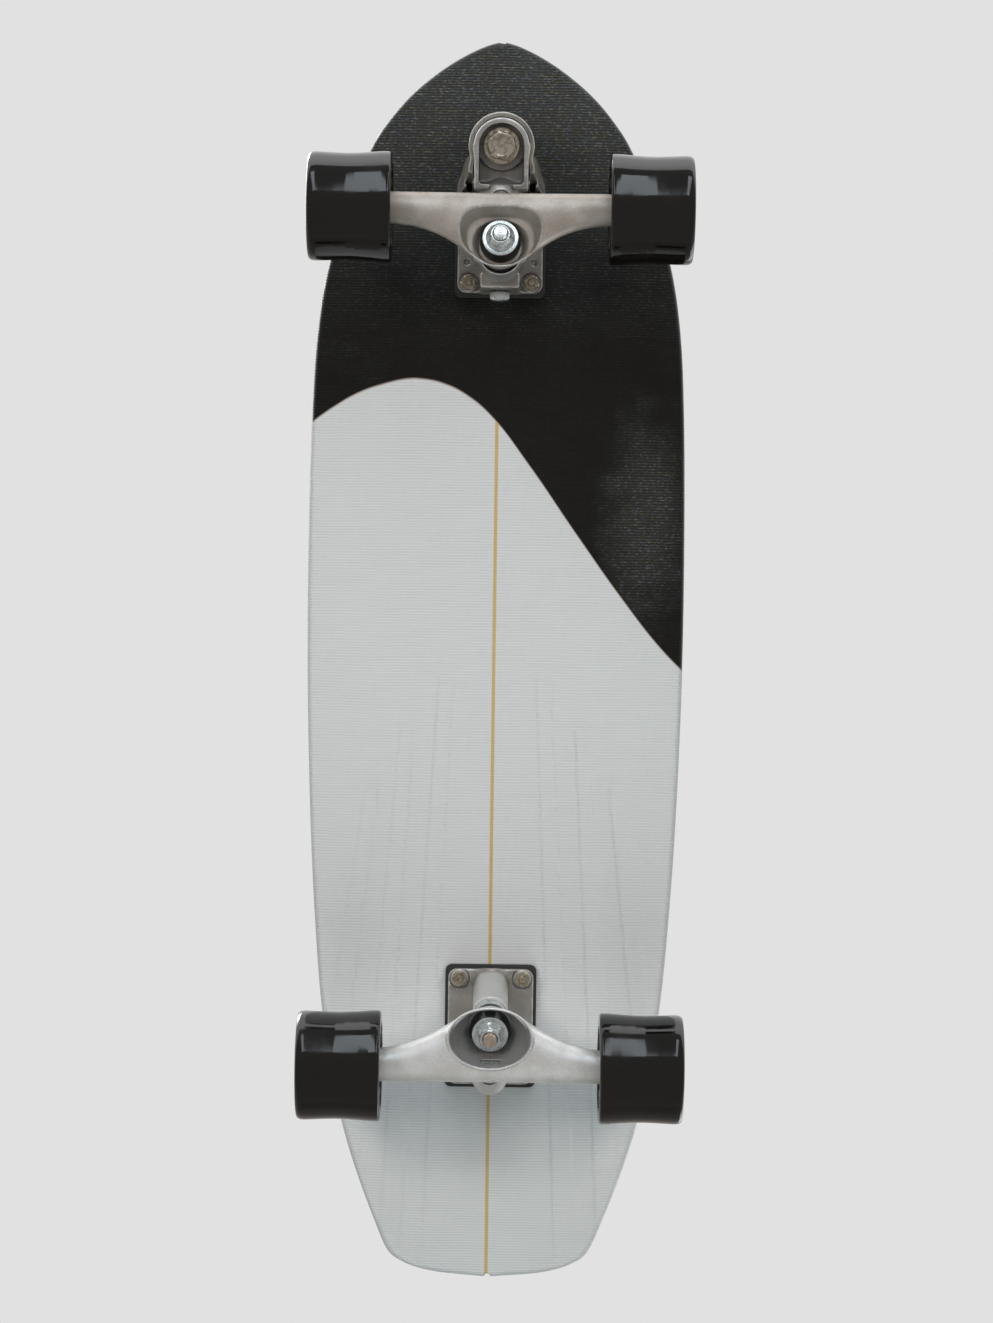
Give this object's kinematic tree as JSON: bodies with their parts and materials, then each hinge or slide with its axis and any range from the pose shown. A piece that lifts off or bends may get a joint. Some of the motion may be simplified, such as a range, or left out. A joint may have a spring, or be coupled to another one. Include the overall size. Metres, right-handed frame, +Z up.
{
  "type": "surf skateboard",
  "caption": "Short cruiser skateboard with a wide kicked deck, a sprung swing-arm truck in front, a kingpin truck behind and soft wide wheels.",
  "frame": {"origin": "on the floor, under the middle of the deck's length and width", "axes": "+X to the nose, +Y to the left seen by a rider who faces the nose, +Z up"},
  "size_m": [0.8256, 0.25, 0.1671],
  "materials": {
    "deck": "lacquered laminate",
    "grip": "abrasive sheet",
    "riser": "moulded",
    "cast_base": "tumbled casting",
    "cast_hanger": "tumbled casting",
    "bolt": "yellow zinc",
    "zinc": "bright zinc",
    "steel": "ground steel",
    "bushing": "cast urethane",
    "pivot_cup": "moulded",
    "wheel": "glossy cast urethane",
    "wheel_core": "moulded",
    "bearing": "ground steel"
  },
  "bodies": {
    "root": {"deck": "deck", "grip_tape": "grip", "front_riser_pad": "riser", "rear_riser_pad": "riser", "front_base": "cast_base", "rear_base": "cast_base", "front_deck_bolt_1": "bolt", "front_deck_bolt_2": "bolt", "front_deck_bolt_3": "bolt", "front_deck_bolt_4": "bolt", "rear_deck_bolt_1": "bolt", "rear_deck_bolt_2": "bolt", "rear_deck_bolt_3": "bolt", "rear_deck_bolt_4": "bolt", "front_arm_pivot_bolt": "bolt", "front_arm_locknut": "zinc", "front_arm_bearing_sleeve": "steel", "front_arm_thrust_bearing": "steel", "rear_kingpin": "zinc", "rear_kingpin_nut": "zinc", "rear_bottom_washer": "zinc", "rear_top_washer": "zinc", "rear_bottom_bushing": "bushing", "rear_top_bushing": "bushing", "rear_pivot_cup": "pivot_cup"},
    "swing_arm": {"front_arm": "cast_base", "front_kingpin": "zinc", "front_kingpin_nut": "zinc", "front_bottom_washer": "zinc", "front_top_washer": "zinc", "front_bottom_bushing": "bushing", "front_top_bushing": "bushing", "front_pivot_cup": "pivot_cup"},
    "spring_rod": {"front_spring_rod": "zinc", "front_arm_spring": "steel"},
    "front_hanger_set": {"front_hanger": "cast_hanger", "front_axle": "steel", "front_left_axle_nut": "zinc", "front_right_axle_nut": "zinc"},
    "rear_hanger_set": {"rear_hanger": "cast_hanger", "rear_axle": "steel", "rear_left_axle_nut": "zinc", "rear_right_axle_nut": "zinc"},
    "front_left_wheel_set": {"front_left_wheel": "wheel", "front_left_wheel_core": "wheel_core", "front_left_inner_bearing": "bearing", "front_left_outer_bearing": "bearing"},
    "front_right_wheel_set": {"front_right_wheel": "wheel", "front_right_wheel_core": "wheel_core", "front_right_inner_bearing": "bearing", "front_right_outer_bearing": "bearing"},
    "rear_left_wheel_set": {"rear_left_wheel": "wheel", "rear_left_wheel_core": "wheel_core", "rear_left_inner_bearing": "bearing", "rear_left_outer_bearing": "bearing"},
    "rear_right_wheel_set": {"rear_right_wheel": "wheel", "rear_right_wheel_core": "wheel_core", "rear_right_inner_bearing": "bearing", "rear_right_outer_bearing": "bearing"}
  },
  "joints": [
    {"name": "arm_swing", "type": "hinge", "parent": "root", "child": "swing_arm", "pos_m": [0.3425, 0, 0.127], "axis": [0.1736, 0, 0.9848], "range_deg": [-20, 20], "stiffness_Nm_per_rad": 15},
    {"name": "spring_rod_sway", "type": "hinge", "parent": "root", "child": "spring_rod", "pos_m": [0.2475, 0, 0.103], "axis": [0, 0, 1], "range_deg": [-5.6, 5.6]},
    {"name": "front_hanger_tilt", "type": "hinge", "parent": "swing_arm", "child": "front_hanger_set", "pos_m": [0.299, 0, 0.067], "axis": [0.863, 0, 0.5052], "range_deg": [-12, 12], "stiffness_Nm_per_rad": 60, "deforming": ["front_bottom_bushing", "front_top_bushing"]},
    {"name": "rear_hanger_tilt", "type": "hinge", "parent": "root", "child": "rear_hanger_set", "pos_m": [-0.2705, 0, 0.093], "axis": [-0.6583, 0, 0.7528], "range_deg": [-12, 12], "stiffness_Nm_per_rad": 60, "deforming": ["rear_bottom_bushing", "rear_top_bushing"]},
    {"name": "front_left_wheel_spin", "type": "hinge", "parent": "front_hanger_set", "child": "front_left_wheel_set", "pos_m": [0.287, 0.0954, 0.035], "axis": [0, 1, 0], "continuous": true},
    {"name": "front_right_wheel_spin", "type": "hinge", "parent": "front_hanger_set", "child": "front_right_wheel_set", "pos_m": [0.287, -0.0954, 0.035], "axis": [0, 1, 0], "continuous": true},
    {"name": "rear_left_wheel_spin", "type": "hinge", "parent": "rear_hanger_set", "child": "rear_left_wheel_set", "pos_m": [-0.257, 0.0954, 0.035], "axis": [0, 1, 0], "continuous": true},
    {"name": "rear_right_wheel_spin", "type": "hinge", "parent": "rear_hanger_set", "child": "rear_right_wheel_set", "pos_m": [-0.257, -0.0954, 0.035], "axis": [0, 1, 0], "continuous": true}
  ],
  "couplings": [
    {"joint": "spring_rod_sway", "follows": "arm_swing", "ratio": -0.275}
  ]
}
